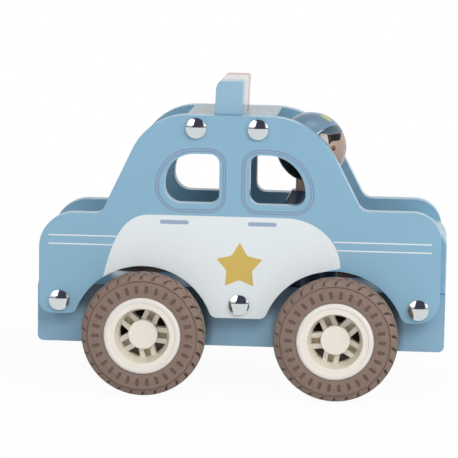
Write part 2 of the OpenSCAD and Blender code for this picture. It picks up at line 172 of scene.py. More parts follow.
def axle_distance(tree: Tree, axle_x: float, axle_z: float) -> Socket:
    """Measures the distance from an axle that lies across the car.

    Args:
        tree: the material's tree.
        axle_x: the axle's X, in metres.
        axle_z: its Z, in metres.

    Returns:
        The distance, in metres.
    """
    coords = add_node(tree, "ShaderNodeTexCoord").outputs["Object"]
    flat = add_node(tree, "ShaderNodeVectorMath", {"operation": "MULTIPLY", 1: (1.0, 0.0, 1.0)},
                    {0: coords}).outputs[0]
    return add_node(tree, "ShaderNodeVectorMath", {"operation": "DISTANCE", 1: (axle_x, 0.0, axle_z)},
                    {0: flat}).outputs["Value"]


def side_distance(tree: Tree) -> Socket:
    """Measures how far a point lies from the car's middle plane.

    Args:
        tree: the material's tree.

    Returns:
        The distance, in metres.
    """
    coords = add_node(tree, "ShaderNodeTexCoord").outputs["Object"]
    across = add_node(tree, "ShaderNodeSeparateXYZ", {}, {0: coords}).outputs[1]
    return add_node(tree, "ShaderNodeMath", {"operation": "ABSOLUTE"}, {0: across}).outputs[0]


def past(value: Socket, span_mm: Span) -> Limit:
    """A limit on a length, from the millimetres where it masks nothing to those where it masks all."""
    return value, span_mm[0] * MM, span_mm[1] * MM


def mask_within(tree: Tree, *limits: Limit) -> Socket:
    """Makes a mask of the place where every value is past its limit.

    Args:
        tree: the material's tree.
        limits: the values, each with where its mask is nought and where it is one.

    Returns:
        The mask.
    """
    mask = None
    for value, start, end in limits:
        inside = add_node(tree, "ShaderNodeMapRange", {"From Min": start, "From Max": end},
                          {"Value": value}).outputs[0]
        mask = inside if mask is None else add_node(
            tree, "ShaderNodeMath", {"operation": "MULTIPLY"}, {0: mask, 1: inside}).outputs[0]
    return mask


def lay_over(tree: Tree, shader: Node, colour: str, *limits: Limit) -> None:
    """Lays a colour over a shader's own colour within limits.

    Args:
        tree: the material's tree.
        shader: the shader node.
        colour: the colour as sRGB hex.
        limits: the limits, as for mask_within.
    """
    under = shader.inputs["Base Color"].links[0].from_socket
    mixed = add_node(tree, "ShaderNodeMix", {"data_type": "RGBA", 7: linear(colour)},
                     {0: mask_within(tree, *limits), 6: under})
    tree.links.new(mixed.outputs[2], shader.inputs["Base Color"])


def seen_by(tree: Tree, *rays: str) -> Socket:
    """Tells the named kinds of rays from the others.

    Args:
        tree: the material's or the world's tree.
        rays: the kinds, as the light path names them.

    Returns:
        One for rays of these kinds, and nought for the others.
    """
    path = add_node(tree, "ShaderNodeLightPath").outputs
    seen = path[rays[0]]
    for ray in rays[1:]:
        seen = add_node(tree, "ShaderNodeMath", {"operation": "MAXIMUM"}, {0: seen, 1: path[ray]}).outputs[0]
    return seen


@dataclass(frozen=True)
class Finish:
    """A surface finish that makes one material the first time it is asked for."""

    name: str

    def material(self) -> bpy.types.Material:
        """Makes the finish's material once.

        Returns:
            The material.
        """
        known = bpy.data.materials.get(self.name)
        if known:
            return known
        made = bpy.data.materials.new(self.name)
        made.use_nodes = True
        made.node_tree.nodes.clear()
        shader = self.shade(made.node_tree)
        add_node(made.node_tree, "ShaderNodeOutputMaterial", {}, {"Surface": shader.outputs[0]})
        return made

    def shade(self, tree: Tree) -> Node:
        """Builds the shader node of this finish in the given tree and returns it."""
        raise NotImplementedError


@dataclass(frozen=True)
class SatinPaint(Finish):
    """Sprayed satin paint or ink: an even colour with a fine mottle, and a fine orange peel in its gloss."""

    colour: str = "#83acc4"
    cloud: str = "#81aac2"
    roughness: float = 0.26
    cloud_mm: float = 2.2
    peel_mm: float = 0.9
    peel_depth_mm: float = 0.003
    gloss_edge: Span = (0.3, 0.7)
    gloss_swing: float = 0.008

    def shade(self, tree: Tree) -> Node:
        """Builds the paint's shader.

        Args:
            tree: the material's tree.

        Returns:
            The shader node.
        """
        tint, clouds = mottled(tree, self.cloud_mm, 4.0, self.colour, self.cloud)
        gloss = add_node(tree, "ShaderNodeMapRange", {
            "From Min": self.gloss_edge[0], "From Max": self.gloss_edge[1],
            "To Min": self.roughness - self.gloss_swing, "To Max": self.roughness + self.gloss_swing},
            {"Value": clouds}).outputs[0]
        peel = grained(tree, self.peel_mm, 2.0, self.peel_depth_mm)
        return add_node(tree, "ShaderNodeBsdfPrincipled", {"IOR": 1.5},
                        {"Base Color": tint, "Roughness": gloss, "Normal": peel})


@dataclass(frozen=True)
class BasePaintWithArchShade(SatinPaint):
    """Satin paint of the base: blue, with painted shade on its sides, slate in the arches and black round the
    axles.

    Each radius is where a dark tone is full and where it ends, round an axle. The tone inside an arch begins
    at the first arch_z and is full at the second.
    """

    slate: str = "#3f5665"
    black: str = "#171615"
    side_y: float = 0.022
    side_skin: Span = (1.2, 0.9)
    axle_z: float = 0.031
    axles_x: tuple[float, ...] = ()
    black_shade_r: Span = (15.0, 19.0)
    slate_shade_r: Span = (29.0, 34.0)
    arch_r: Span = (40.0, 44.0)
    arch_z: Span = (36.0, 43.0)

    def shade(self, tree: Tree) -> Node:
        """Builds the base's shader.

        Args:
            tree: the material's tree.

        Returns:
            The shader node.
        """
        shader = super().shade(tree)
        coords = add_node(tree, "ShaderNodeTexCoord").outputs["Object"]
        height = add_node(tree, "ShaderNodeSeparateXYZ", {}, {0: coords}).outputs[2]
        inner, outer = (self.side_y - depth * MM for depth in self.side_skin)
        on_side, in_arch = (side_distance(tree), inner, outer), past(height, self.arch_z)
        for axle_x in self.axles_x:
            away = axle_distance(tree, axle_x, self.axle_z)
            arch, slate, black = (
                past(away, (far, near)) for near, far in (self.arch_r, self.slate_shade_r, self.black_shade_r))
            # Painted shade: slate on the sides in each arch and round each wheel, and black round each axle
            # behind the rim.
            lay_over(tree, shader, self.slate, on_side, in_arch, arch)
            lay_over(tree, shader, self.slate, on_side, slate)
            lay_over(tree, shader, self.black, on_side, black)
        return shader


@dataclass(frozen=True)
class GrainPaint(SatinPaint):
    """Thin satin paint on open-grained wood: greyer streaks along the car where raised fibres show through.

    Real fibres are about half a millimetre wide; they are drawn coarser so that they show in the render.
    """

    colour: str = "#82a2b3"
    cloud: str = "#80a0b1"
    streak: str = "#788d99"
    streak_mm: float = 1.3
    streak_share: float = 0.14
    streak_edge: Span = (0.35, 0.65)

    def shade(self, tree: Tree) -> Node:
        """Builds the grained paint's shader.

        Args:
            tree: the material's tree.

        Returns:
            The shader node.
        """
        shader = super().shade(tree)
        coords = add_node(tree, "ShaderNodeTexCoord").outputs["Object"]
        along = add_node(tree, "ShaderNodeMapping", {"Scale": (self.streak_share, 1.0, 1.0)},
                         {"Vector": coords}).outputs[0]
        fibres = add_node(tree, "ShaderNodeTexNoise", {"Scale": per_metre(self.streak_mm), "Detail": 3.0},
                          {"Vector": along}).outputs["Fac"]
        lay_over(tree, shader, self.streak, (fibres, *self.streak_edge))
        return shader


@dataclass(frozen=True)
class Chrome(Finish):
    """Polished chrome plate on pressed steel: a mirror with hair-fine wipe marks that dull it a little."""

    colour: str = "#cfd6d6"
    roughness: float = 0.06
    mark_mm: float = 0.8
    mark_edge: Span = (0.35, 0.75)
    mark_dulling: float = 0.06

    def shade(self, tree: Tree) -> Node:
        """Builds the plate's shader.

        Args:
            tree: the material's tree.

        Returns:
            The shader node.
        """
        coords = add_node(tree, "ShaderNodeTexCoord").outputs["Object"]
        marks = add_node(tree, "ShaderNodeTexNoise", {"Scale": per_metre(self.mark_mm), "Detail": 4.0},
                         {"Vector": coords}).outputs["Fac"]
        gloss = add_node(tree, "ShaderNodeMapRange", {
            "From Min": self.mark_edge[0], "From Max": self.mark_edge[1], "To Min": self.roughness,
            "To Max": self.roughness + self.mark_dulling}, {"Value": marks}).outputs[0]
        return add_node(tree, "ShaderNodeBsdfPrincipled", {
            "Base Color": linear(self.colour), "Metallic": 1.0}, {"Roughness": gloss})


@dataclass(frozen=True)
class DrawnSteel(Finish):
    """Cold-drawn mild steel bar: grey metal with draw lines along its length, which lies across the car."""

    colour: str = "#b4b6b8"
    line_mm: float = 0.5
    line_share: float = 0.02
    roughness: Span = (0.3, 0.46)

    def shade(self, tree: Tree) -> Node:
        """Builds the bar's shader.

        Args:
            tree: the material's tree.

        Returns:
            The shader node.
        """
        coords = add_node(tree, "ShaderNodeTexCoord").outputs["Object"]
        along = add_node(tree, "ShaderNodeMapping", {"Scale": (1.0, self.line_share, 1.0)},
                         {"Vector": coords}).outputs[0]
        lines = add_node(tree, "ShaderNodeTexNoise", {"Scale": per_metre(self.line_mm), "Detail": 2.0},
                         {"Vector": along}).outputs["Fac"]
        gloss = add_node(tree, "ShaderNodeMapRange", {
            "To Min": self.roughness[0], "To Max": self.roughness[1]}, {"Value": lines}).outputs[0]
        return add_node(tree, "ShaderNodeBsdfPrincipled", {
            "Base Color": linear(self.colour), "Metallic": 1.0}, {"Roughness": gloss})


@dataclass(frozen=True)
class MouldedPlastic(Finish):
    """Injection-moulded cream ABS: soft low gloss, a very fine spark grain and a warmer tone in places."""

    colour: str = "#e6dfd6"
    warm: str = "#e1d9cd"
    roughness: float = 0.38
    flow_mm: float = 9.0
    grain_mm: float = 0.5
    grain_depth_mm: float = 0.008

    def shade(self, tree: Tree) -> Node:
        """Builds the moulding's shader.

        Args:
            tree: the material's tree.

        Returns:
            The shader node.
        """
        tint, _ = mottled(tree, self.flow_mm, 2.0, self.colour, self.warm)
        grain = grained(tree, self.grain_mm, 1.0, self.grain_depth_mm)
        return add_node(tree, "ShaderNodeBsdfPrincipled", {"Roughness": self.roughness, "IOR": 1.53},
                        {"Base Color": tint, "Normal": grain})


@dataclass(frozen=True)
class RimPlastic(MouldedPlastic):
    """Cream ABS of a rim: a whiter painted reflection on the bead, duller warm painted shade on the barrel's
    wall and in the pockets.

    Each span is where a tone begins and where it is full, from the axle or from the car's middle.
    """

    bead: str = "#ddd8d2"
    wall: str = "#d6cebe"
    deep_shade: str = "#ddd2ba"
    axle_x: float = 0.0
    axle_z: float = 0.031
    bead_r: Span = (16.6, 16.8)
    wall_inner_r: Span = (11.9, 12.0)
    wall_outer_r: Span = (13.9, 13.8)
    wall_y: Span = (48.45, 48.15)
    deep_y: Span = (40.5, 38.5)

    def shade(self, tree: Tree) -> Node:
        """Builds the rim's shader.

        Args:
            tree: the material's tree.

        Returns:
            The shader node.
        """
        shader = super().shade(tree)
        away, across = axle_distance(tree, self.axle_x, self.axle_z), side_distance(tree)
        # Painted reflection on the outer bead; painted shade on the barrel's wall, in the pockets and on all
        # that lies further in.
        lay_over(tree, shader, self.bead, past(away, self.bead_r))
        lay_over(tree, shader, self.wall, past(away, self.wall_inner_r), past(away, self.wall_outer_r),
                 past(across, self.wall_y))
        lay_over(tree, shader, self.deep_shade, past(across, self.deep_y))
        return shader


@dataclass(frozen=True)
class MouldedRubber(Finish):
    """Moulded taupe rubber: matt, slightly blotched, with a fine sandy grain from the mould."""

    colour: str = "#7a665b"
    dusty: str = "#826f65"
    roughness: float = 0.72
    blotch_mm: float = 5.0
    grain_mm: float = 0.6
    grain_depth_mm: float = 0.05
    grain_strength: float = 0.6

    def shade(self, tree: Tree) -> Node:
        """Builds the rubber's shader.

        Args:
            tree: the material's tree.

        Returns:
            The shader node.
        """
        tint, _ = mottled(tree, self.blotch_mm, 4.0, self.colour, self.dusty)
        grain = grained(tree, self.grain_mm, 3.0, self.grain_depth_mm, self.grain_strength)
        return add_node(tree, "ShaderNodeBsdfPrincipled", {"Roughness": self.roughness, "IOR": 1.5},
                        {"Base Color": tint, "Normal": grain})


@dataclass(frozen=True)
class TyreRubber(MouldedRubber):
    """Rubber of a tyre: taupe, with painted shade on the floors of the moulded-in slots.

    Each span is where the tone begins and where it is full, from the axle or from the car's middle.
    """

    slot: str = "#6a584e"
    axle_x: float = 0.0
    axle_z: float = 0.031
    slot_inner_r: Span = (21.15, 21.2)
    slot_outer_r: Span = (25.35, 25.3)
    slot_y: Span = (48.3, 48.1)

    def shade(self, tree: Tree) -> Node:
        """Builds the tyre's shader.

        Args:
            tree: the material's tree.

        Returns:
            The shader node.
        """
        shader = super().shade(tree)
        away, across = axle_distance(tree, self.axle_x, self.axle_z), side_distance(tree)
        # Painted shade on the floors of the sidewall slots.
        lay_over(tree, shader, self.slot, past(away, self.slot_inner_r), past(away, self.slot_outer_r),
                 past(across, self.slot_y))
        return shader


BODY_BLUE = SatinPaint("satin_blue_paint_on_plywood")
ROOF_BLUE = GrainPaint("thin_blue_paint_on_open_grained_pine")
LIGHT_BLUE = SatinPaint("satin_pale_blue_paint_on_beech", "#8fb2c7", "#8db0c5", 0.22)
LIGHT_WHITE = SatinPaint("satin_white_paint_on_beech", "#d9d6d2", "#d5d2ce", 0.23)
LIGHT_RED = SatinPaint("satin_red_paint_on_beech", "#c6928b", "#c28d86", 0.23)
PRINT_WHITE = SatinPaint("white_screen_ink", "#dde3e5", "#d8dfe2", 0.55)
PRINT_STAR = SatinPaint("mustard_screen_ink", "#d3b962", "#bda04a", 0.55, 0.7)
PRINT_HANDLE = SatinPaint("slate_blue_screen_ink", "#94a9be", "#8fa4ba", 0.55)
PRINT_LINE = SatinPaint("lavender_grey_screen_ink", "#7d87a2", "#79839e", 0.55)
CHROME = Chrome("chrome_plated_steel")
STEEL = DrawnSteel("cold_drawn_steel_bar")
HUB_CREAM = MouldedPlastic("moulded_cream_abs")


def node_middle(node: str) -> Vector:
    """The middle of a CAD node's box, in metres."""
    low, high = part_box(node)
    return (low + high) / 2


def softened(node: str, radius: float, segments: int = 3, sharp_deg: float = 30.0) -> Form:
    """Copies a CAD node, merges its loose triangles and rounds its sharp edges.

    Args:
        node: the CAD node's name.
        radius: the radius of the rounded edges, in millimetres.
        segments: the number of faces across a rounded edge.
        sharp_deg: the angle between two faces above which their edge counts as sharp.

    Returns:
        The new bmesh.
    """
    bm = bmesh.new()
    bm.from_mesh(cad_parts[node].data)
    bmesh.ops.remove_doubles(bm, verts=bm.verts[:], dist=WELD)
    bmesh.ops.dissolve_limit(bm, angle_limit=math.radians(FLAT_DEG), verts=bm.verts[:], edges=bm.edges[:])
    sharp = [e for e in bm.edges if e.is_manifold and e.calc_face_angle(0.0) > math.radians(sharp_deg)]
    round_edges(bm, sharp, radius, segments)
    return bm


def round_edges(bm: Form, edges: list[bmesh.types.BMEdge], radius: float, segments: int) -> None:
    """Rounds the given edges.

    Args:
        bm: the bmesh that holds them.
        edges: the edges.
        radius: their radius, in millimetres.
        segments: the number of faces across each.
    """
    bmesh.ops.bevel(bm, geom=edges, offset=radius * MM, offset_type="OFFSET", segments=segments, profile=0.5,
                    affect="EDGES", clamp_overlap=True, material=-1)


def turned(profile: list[Point], steps: int, place: Matrix) -> Form:
    """Spins a profile of (radius, height) points about Z and puts the form in its place.

    Args:
        profile: the points, in millimetres.
        steps: the number of steps round the axis.
        place: the matrix, in metres, that the form gets.

    Returns:
        The new bmesh.
    """
    bm = bmesh.new()
    points = [bm.verts.new((r * MM, 0.0, h * MM)) for r, h in profile]
    edges = [bm.edges.new(pair) for pair in zip(points, points[1:])]
    bmesh.ops.spin(bm, geom=points + edges, cent=(0, 0, 0), axis=(0, 0, 1), angle=math.tau, steps=steps,
                   use_merge=True)
    bmesh.ops.remove_doubles(bm, verts=bm.verts[:], dist=WELD)
    bmesh.ops.recalc_face_normals(bm, faces=bm.faces[:])
    bmesh.ops.transform(bm, matrix=place, verts=bm.verts[:])
    return bm


def arc(centre: Point, radius: float, start_deg: float, end_deg: float, count: int) -> list[Point]:
    """Points along a circular arc.

    Args:
        centre: the middle of the circle.
        radius: its radius.
        start_deg: the angle of the first point.
        end_deg: the angle of the last point.
        count: the number of points.

    Returns:
        The points from the first angle to the last.
    """
    angles = [math.radians(start_deg + (end_deg - start_deg) * i / (count - 1)) for i in range(count)]
    return [(centre[0] + radius * math.cos(a), centre[1] + radius * math.sin(a)) for a in angles]


def make_piece(name: str, bm: Form, finish: Finish, body: str,
               stands_for: Iterable[str] = (), smooth_deg: float = 40.0) -> bpy.types.Object:
    """Turns a bmesh into a finished piece that rides on a CAD body.

    Args:
        name: the piece's name.
        bm: its mesh, which is freed.
        finish: its finish.
        body: the CAD body that it moves with.
        stands_for: the CAD nodes that it replaces.
        smooth_deg: the angle below which faces shade as one smooth surface.

    Returns:
        The new object.
    """
    mesh = bpy.data.meshes.new(name)
    bm.to_mesh(mesh)
    bm.free()
    mesh.polygons.foreach_set("use_smooth", [True] * len(mesh.polygons))
    mesh.set_sharp_from_angle(angle=math.radians(smooth_deg))
    mesh.materials.append(finish.material())
    obj = bpy.data.objects.new(name, mesh)
    bpy.context.scene.collection.objects.link(obj)
    even = obj.modifiers.new("even_normals", "WEIGHTED_NORMAL")
    even.keep_sharp = True
    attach(obj, body)
    if stands_for:
        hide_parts(*stands_for)
    LOG.info("%s rides on %s in %s", name, body, finish.name)
    return obj


def dress_node(node: str, finish: Finish) -> None:
    """Gives a CAD node that stays in view its finish.

    Args:
        node: the CAD node's name.
        finish: the finish.
    """
    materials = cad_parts[node].data.materials
    materials.clear()
    materials.append(finish.material())
    LOG.info("%s keeps its CAD shape in %s", node, finish.name)


@dataclass
class WoodBody:
    """The painted blocks and panels, with the softly rounded edges that sanding leaves."""

    body: str = "car"
    base_blue: str = "#84aac2"
    base_cloud: str = "#82a8c0"
    panel_edge_r: float = 0.6
    block_edge_r: float = 0.9
    light_edge_r: float = 0.3
    light_edge_steps: int = 3
    light_rear_h: float = 4.6
    light_rear_l: float = 2.6
    light_rear_steps: int = 16
    light_front_r: float = 1.2
    light_front_steps: int = 12
    light_lean: float = 0.035

    def build(self) -> None:
        """Builds the panels, the blocks and the light bar."""
        for side in Side:
            node = f"side_panel_{side.word}"
            make_piece(f"panel_{side.word}", softened(node, self.panel_edge_r), BODY_BLUE, self.body,
                       [node])
        base = BasePaintWithArchShade("satin_blue_paint_on_pine", self.base_blue, self.base_cloud,
                         side_y=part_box("floor_block")[1].y, axle_z=node_middle("axle_front").z,
                         axles_x=tuple(node_middle(f"axle_{end.value}").x for end in End))
        for node, finish in (("floor_block", base), ("front_block", BODY_BLUE), ("roof_block", ROOF_BLUE)):
            make_piece(f"painted_{node}", softened(node, self.block_edge_r), finish, self.body,
                       [node])
        for node, finish, slot, end in (("light_right", LIGHT_BLUE, "body_paint", Side.RIGHT),
                                        ("light_middle", LIGHT_WHITE, "light_white", None),
                                        ("light_left", LIGHT_RED, "light_red", Side.LEFT)):
            make_piece(f"painted_{node}", self.light_slice(node, end), finish, self.body, [node])

    def light_slice(self, node: str, end: Side | None) -> Form:
        """Shapes one slice of the light bar with round upper edges, a slight lean and a softened outer end.

        Args:
            node: the CAD node of the slice.
            end: the side that its outer end faces, or None for the slice between the others.

        Returns:
            The new bmesh.
        """
        low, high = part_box(node)
        size = high - low
        stretch = self.light_rear_h / self.light_rear_l
        bm = bmesh.new()
        bmesh.ops.create_cube(bm, size=1.0)
        bmesh.ops.scale(bm, vec=(size.x * stretch, size.y, size.z), verts=bm.verts[:])
        round_edges(bm, self.top_edge(bm, min), self.light_rear_h, self.light_rear_steps)
        bmesh.ops.scale(bm, vec=(1.0 / stretch, 1.0, 1.0), verts=bm.verts[:])
        round_edges(bm, self.top_edge(bm, max), self.light_front_r, self.light_front_steps)
        if end:
            outer_y = end.value * size.y / 2
            rim = [e for e in bm.edges if all(abs(v.co.y - outer_y) < WELD for v in e.verts)]
            round_edges(bm, rim, self.light_edge_r, self.light_edge_steps)
        lean = Matrix.Shear("XY", 4, (self.light_lean, 0.0))
        bmesh.ops.transform(bm, matrix=Matrix.Translation(node_middle(node)) @ lean, verts=bm.verts[:])
        return bm

    def top_edge(self, bm: Form, pick: Callable) -> list[bmesh.types.BMEdge]:
        """Finds the edge across a block's top at one end.

        Args:
            bm: the block.
            pick: min for the block's rear end, max for its front end.

        Returns:
            The edge, in a list.
        """
        x, z = pick(v.co.x for v in bm.verts), max(v.co.z for v in bm.verts)
        return [e for e in bm.edges
                if all(abs(v.co.x - x) < WELD and abs(v.co.z - z) < WELD for v in e.verts)]


@dataclass
class Outline:
    """A flat print's outline in the panel's own X and Z, each corner with its radius."""

    corners: list[Triple]
    steps: int = 8

    def face(self, bm: Form) -> bmesh.types.BMFace:
        """Draws the outline as one face in a bmesh.

        Args:
            bm: the bmesh that gets the face.

        Returns:
            The face, with its corners rounded.
        """
        before = set(bm.faces)
        verts = [bm.verts.new((x * MM, 0.0, z * MM)) for x, z, _ in self.corners]
        bm.faces.new(verts)
        for vert, (_, _, radius) in zip(verts, self.corners):
            if radius > 0:
                bmesh.ops.bevel(bm, geom=[vert], offset=radius * MM, offset_type="OFFSET",
                                segments=self.steps, profile=0.5, affect="VERTICES", clamp_overlap=True,
                                material=-1)
        return next(f for f in bm.faces if f not in before)


@dataclass
class SidePrints:
    """The inks printed on the outer face of both panels, as thin films."""

    body: str = "car"
    panel_middle_x: float = -0.6
    film: float = 0.05
    door_front: tuple[Point, ...] = ((50.6, 64.8), (50.6, 78.3), (38.2, 89.2), (23.0, 89.2))
    door_rear: tuple[Point, ...] = ((-44.6, 89.2), (-57.2, 89.2), (-62.9, 78.0), (-67.3, 59.5))
    door_foot: tuple[Point, Point] = ((50.6, 64.8), (37.5, 61.6))
    door_steps: int = 14
    outer_share: float = 0.05
    star_centre: Point = (0.4, 64.2)
    star_points: int = 5
    star_tip: Point = (12.1, 0.5)
    star_notch: Point = (6.7, 0.9)
    handle: Triple = (14.3, 2.05, 0.95)
    handle_centres: tuple[Point, ...] = ((-32.45, 85.8), (11.45, 85.75))
    stripe_h: float = 0.62
    stripes: tuple[Triple, ...] = (
        (-95.5, -61.0, 77.75), (-95.5, -62.9, 73.4), (47.0, 95.7, 77.85), (48.4, 95.8, 73.65))
    line_w: float = 0.5
    line_gaps: tuple[tuple[float, ...], ...] = ((4.5, 2.8, 4.5, 3.3), (3.3, 1.6, 3.2, 2.15))
    sill_z: float = 95.25
    window_top_z: float = 120.2
    rear_window: Span = (-37.8, -10.3)
    rear_window_r: Span = (8.5, 15.0)
    front_window: Span = (4.8, 32.6)
    front_window_r: Span = (5.5, 19.0)
    front_line_back: float = 0.7
    pillar_r: float = 5.0

    def build(self) -> None:
        """Builds every print on both sides."""
        for side in Side:
            self.door_print(side)
            self.star_print(side)
            self.handle_prints(side)
            self.stripe_prints(side)
            self.window_lines(side)

    def outer_y(self, side: Side) -> float:
        """The Y of a panel's outer face, in metres."""
        low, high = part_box(f"side_panel_{side.word}")
        return low.y if side is Side.RIGHT else high.y

    def film_piece(self, name: str, bm: Form, side: Side, lift: float, finish: Finish) -> None:
        """Gives flat faces the thickness of an ink film and sets them on a panel.

        Args:
            name: the print's name without its side.
            bm: the faces, drawn in the panel's own X and Z.
            side: the side of the car.
            lift: how far the film's back lies in front of the panel, in millimetres.
            finish: the ink.
        """
        sign = side.value
        back = self.outer_y(side) + sign * lift * MM
        bmesh.ops.translate(bm, verts=bm.verts[:], vec=(self.panel_middle_x * MM, back, 0.0))
        grown = bmesh.ops.extrude_face_region(bm, geom=bm.faces[:], use_keep_orig=True)
        tops = [g for g in grown["geom"] if isinstance(g, bmesh.types.BMVert)]
        bmesh.ops.translate(bm, verts=tops, vec=(0.0, sign * self.film * MM, 0.0))
        bmesh.ops.recalc_face_normals(bm, faces=bm.faces[:])
        make_piece(f"{name}_{side.word}", bm, finish, self.body)

    def door_edge(self) -> list[Point]:
        """Draws the door print's edge from its front foot over the top to its rear foot.

        Returns:
            The points of the edge.
        """
        edge: list[Point] = []
        for knots in (self.door_front, self.door_rear):
            ends = [Vector((x, z)) for x, z in knots]
            edge += [(p.x, p.y) for p in interpolate_bezier(*ends, self.door_steps)]
        return edge

    def door_print(self, side: Side) -> None:
        """Cuts the white door print out of a copy of the panel's outer face, so that it wraps the edges.

        Args:
            side: the side of the car.
        """
        bm = softened(f"side_panel_{side.word}", WoodBody.panel_edge_r)
        outward = Vector((0.0, side.value, 0.0))
        inner = [f for f in bm.faces if f.normal.dot(outward) < self.outer_share]
        bmesh.ops.delete(bm, geom=inner, context="FACES")
        edge = self.door_edge()
        for start, end in zip(edge, edge[1:]):
            self.cut(bm, bm.faces[:], start, end)
        foot_end, foot_start = self.door_foot
        self.cut(bm, bm.faces[:], foot_start, (foot_start[0], foot_start[1] + 1.0), clear=False)
        foot_x = (foot_start[0] + self.panel_middle_x) * MM
        self.cut(bm, [f for f in bm.faces if f.calc_center_median().x > foot_x], foot_start, foot_end)
        bmesh.ops.solidify(bm, geom=bm.faces[:], thickness=-self.film * MM)
        bmesh.ops.recalc_face_normals(bm, faces=bm.faces[:])
        make_piece(f"door_print_{side.word}", bm, PRINT_WHITE, self.body)

    def cut(self, bm: Form, faces: list[bmesh.types.BMFace], start: Point, end: Point,
            clear: bool = True) -> None:
        """Cuts faces along a straight line of the panel's face.

        Args:
            bm: the bmesh that holds the faces.
            faces: the faces to cut.
            start: a point on the line, in the panel's own X and Z.
            end: another point on it.
            clear: whether the side to the right of the way from start to end is taken off.
        """
        edges = {e for f in faces for e in f.edges}
        verts = {v for f in faces for v in f.verts}
        bmesh.ops.bisect_plane(
            bm, geom=list(verts) + list(edges) + list(faces), dist=WELD,
            plane_co=((start[0] + self.panel_middle_x) * MM, 0.0, start[1] * MM),
            plane_no=(end[1] - start[1], 0.0, start[0] - end[0]), clear_outer=clear)

    def star_print(self, side: Side) -> None:
        """Prints the five-pointed star with its slightly softened corners.

        Args:
            side: the side of the car.
        """
        corners = []
        for i in range(2 * self.star_points):
            radius, soft = self.star_notch if i % 2 else self.star_tip
            angle = math.radians(90 + 180 / self.star_points * i)
            corners.append((self.star_centre[0] + radius * math.cos(angle),
                            self.star_centre[1] + radius * math.sin(angle), soft))
        bm = bmesh.new()
        Outline(corners).face(bm)
        self.film_piece("star_print", bm, side, self.film, PRINT_STAR)

    def handle_prints(self, side: Side) -> None:
        """Prints the two door handles as bars with round ends.

        Args:
            side: the side of the car.
        """
        length, height, radius = self.handle
        bm = bmesh.new()
        for x, z in self.handle_centres:
            self.bar(bm, x - length / 2, x + length / 2, z, height, radius)
        self.film_piece("handle_print", bm, side, self.film, PRINT_HANDLE)

    def stripe_prints(self, side: Side) -> None:
        """Prints the four thin white stripes.

        Args:
            side: the side of the car.
        """
        bm = bmesh.new()
        for start, end, z in self.stripes:
            self.bar(bm, start, end, z, self.stripe_h, 0.0)
        self.film_piece("stripe_print", bm, side, 0.0, PRINT_WHITE)

    def bar(self, bm: Form, start: float, end: float, z: float, height: float, radius: float) -> None:
        """Draws a level bar.

        Args:
            bm: the bmesh that gets its face.
            start: the bar's rear end.
            end: its front end.
            z: its middle height.
            height: its height.
            radius: the radius of its corners.
        """
        low, high = z - height / 2, z + height / 2
        Outline([(x, level, radius) for x, level in (
            (start, low), (end, low), (end, high), (start, high))]).face(bm)

    def window_lines(self, side: Side) -> None:
        """Prints the two thin lines round each window.

        Args:
            side: the side of the car.
        """
        bm = bmesh.new()
        for low_gap, top_gap, far_gap, near_gap in self.line_gaps:
            low, high = self.sill_z - low_gap, self.window_top_z + top_gap
            near_r = self.pillar_r + near_gap
            low_r, high_r = (radius + far_gap for radius in self.rear_window_r)
            rear, front = self.rear_window[0] - far_gap, self.rear_window[1] + near_gap
            self.ring(bm, [(rear, low, low_r), (front, low, near_r),
                           (front, high, near_r), (rear, high, high_r)])
            low_r, high_r = (radius + far_gap for radius in self.front_window_r)
            rear = self.front_window[0] - near_gap - self.front_line_back
            front = self.front_window[1] + far_gap
            self.ring(bm, [(rear, low, near_r), (front, low, low_r),
                           (front, high, high_r), (rear, high, near_r)])
        self.film_piece("window_lines", bm, side, 0.0, PRINT_LINE)

    def ring(self, bm: Form, corners: list[Triple]) -> None:
        """Draws a thin closed line with round corners.

        Args:
            bm: the bmesh that gets its faces.
            corners: the line's outer corners, each with its radius.
        """
        face = Outline(corners).face(bm)
        bmesh.ops.inset_individual(bm, faces=[face], thickness=self.line_w * MM, use_even_offset=True)
        bmesh.ops.delete(bm, geom=[face], context="FACES")


@dataclass
class DomeCaps:
    """The ten chromed dome caps on the rod ends, with a small rolled rim."""

    body: str = "car"
    rim_h: float = 1.4
    roll_r: float = 0.3
    roll_points: int = 5
    dome_points: int = 22
    steps: int = 56
    smooth_deg: float = 50.0
    rods: tuple[str, ...] = ("roof_rear", "roof_front", "base_rear", "base_middle", "base_front")

    def build(self) -> None:
        """Builds the caps and dresses the rods behind them."""
        for rod in self.rods:
            dress_node(f"rod_{rod}", STEEL)
            for side in Side:
                self.cap(rod, side)

    def cap(self, rod: str, side: Side) -> None:
        """Builds one cap.

        Args:
            rod: the rod's place.
            side: the side of the car.
        """
        node = f"cap_{side.word}_{rod}"
        low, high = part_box(node)
        seat = high.y if side is Side.RIGHT else low.y
        middle = node_middle(node)
        cap_r, cap_h = (high.x - low.x) / 2 / MM, (high.y - low.y) / MM
        dome_h = cap_h - self.rim_h
        dome_r = (cap_r ** 2 + dome_h ** 2) / (2 * dome_h)
        edge_deg = math.degrees(math.asin((dome_r - dome_h) / dome_r))
        rim = arc((cap_r - self.roll_r, self.roll_r), self.roll_r, -90, 0, self.roll_points)
        dome = arc((0.0, cap_h - dome_r), dome_r, edge_deg, 90, self.dome_points)
        profile = [(0.0, 0.0)] + rim + dome[:-1] + [(0.0, cap_h)]
        facing = Matrix.Rotation(-side.value * math.pi / 2, 4, "X")
        place = Matrix.Translation((middle.x, seat, middle.z)) @ facing
        make_piece(f"dome_{side.word}_{rod}", turned(profile, self.steps, place), CHROME, self.body,
                   [node], self.smooth_deg)


